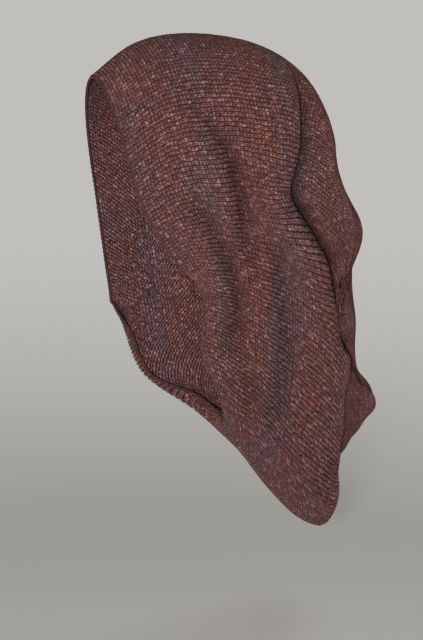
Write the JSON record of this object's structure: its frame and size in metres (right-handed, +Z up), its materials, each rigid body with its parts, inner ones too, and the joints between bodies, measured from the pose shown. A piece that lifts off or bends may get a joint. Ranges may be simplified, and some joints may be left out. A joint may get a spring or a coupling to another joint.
{
  "type": "dreadlock hat",
  "caption": "Long slouchy knitted tube hat for holding dreadlocks, open round the face, with folds down the side and a gathered end at the lower back.",
  "frame": {"origin": "where the top of the wearer's head meets the inside of the crown", "axes": "+Z up, the wearer faces -Y, and +X is the wearer's left; the bag hangs down behind at +Y"},
  "size_m": [0.1653, 0.2283, 0.3989],
  "materials": {
    "wool_knit": "heathered plain knit in rust, plum and grey bands, knit face out",
    "wool_edge": "dark bound-off chain edge of the same wool"
  },
  "bodies": {
    "root": {"knit_bag": "wool_knit", "brim_edging": "wool_edge"}
  },
  "joints": []
}
